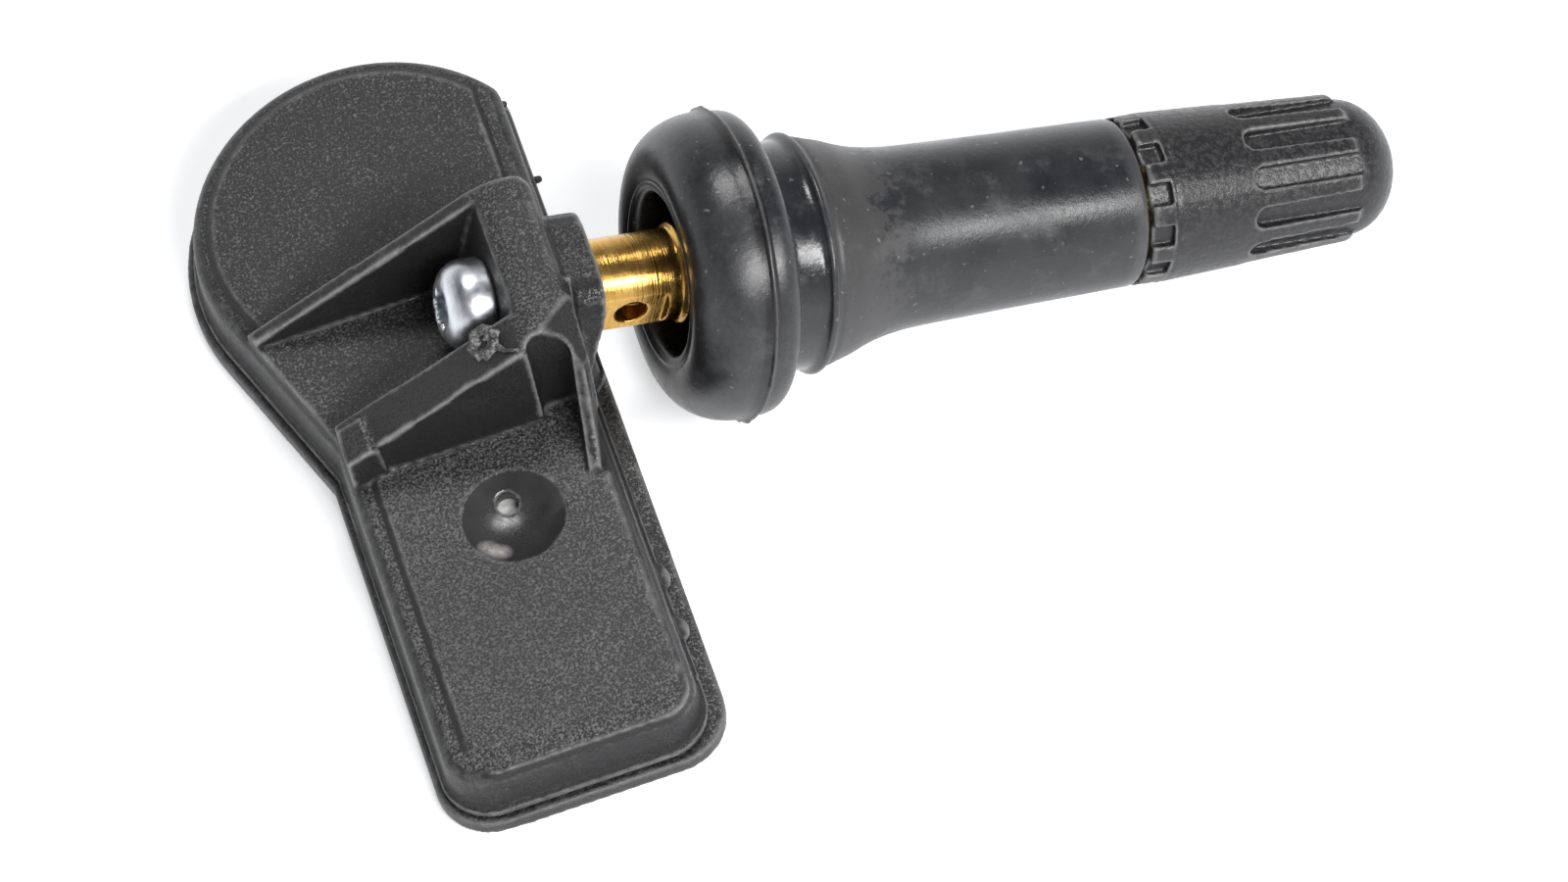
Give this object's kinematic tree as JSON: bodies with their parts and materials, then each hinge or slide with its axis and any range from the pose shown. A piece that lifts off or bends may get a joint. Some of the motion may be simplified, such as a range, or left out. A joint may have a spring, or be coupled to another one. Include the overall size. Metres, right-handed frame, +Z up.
{
  "type": "tyre pressure sensor",
  "caption": "Tyre pressure sensor: a sealed radio housing with a ramped boss, screwed to a snap-in rubber valve with a grooved cap.",
  "frame": {"origin": "middle of the part's box, on the ground it lies on", "axes": "+X along the stem toward the cap as seen from above, +Y toward the round end of the housing, +Z up"},
  "size_m": [0.0756, 0.0542, 0.0199],
  "materials": {
    "housing_plastic": "satin",
    "base_plastic": "satin",
    "cap_plastic": "satin",
    "valve_rubber": "satin",
    "seal_rubber": "matte",
    "brass": "machined",
    "zinc_steel": "polished",
    "spring_steel": "satin",
    "white_plastic": "matte",
    "board_laminate": "gloss",
    "cell_can": "satin",
    "nickel_tab": "satin",
    "chip_plastic": "matte",
    "ferrite": "matte",
    "copper_wire": "gloss"
  },
  "bodies": {
    "sensor": {"housing_shell": "housing_plastic", "base_plate": "base_plastic", "valve_stem": "brass", "rubber_body": "valve_rubber", "retaining_screw": "zinc_steel", "core_plug": "brass", "core_spring": "spring_steel", "core_sleeve": "white_plastic", "circuit_board": "board_laminate", "battery_cell": "cell_can", "battery_tab_top": "nickel_tab", "battery_tab_bottom": "nickel_tab", "pressure_chip": "chip_plastic", "port_gasket": "white_plastic", "port_membrane": "white_plastic", "control_chip": "chip_plastic", "ferrite_core": "ferrite", "coil_winding": "copper_wire", "crystal_can": "nickel_tab", "capacitor_row": "white_plastic", "antenna_strip": "nickel_tab"},
    "cap_seal_body": {"cap_seal": "seal_rubber"},
    "cap": {"valve_cap": "cap_plastic"},
    "core_pin_body": {"core_pin": "brass", "core_cup": "seal_rubber"}
  },
  "joints": [
    {"name": "cap_lift", "type": "slide", "parent": "sensor", "child": "cap_seal_body", "axis": [0.9917, 0, -0.1285], "range_m": [0, 0.00794]},
    {"name": "cap_turn", "type": "hinge", "parent": "cap_seal_body", "child": "cap", "pos_m": [0.02664, 0.00291, 0.00571], "axis": [0.9917, 0, -0.1285], "range_deg": [0, 3604]},
    {"name": "core_press", "type": "slide", "parent": "sensor", "child": "core_pin_body", "axis": [-0.9917, 0, 0.1285], "range_m": [0, 0.0015], "stiffness_N_per_m": 1000, "springref_m": -0.002}
  ],
  "couplings": [
    {"joint": "cap_turn", "follows": "cap_lift", "rad_per_m": 7913.3}
  ]
}
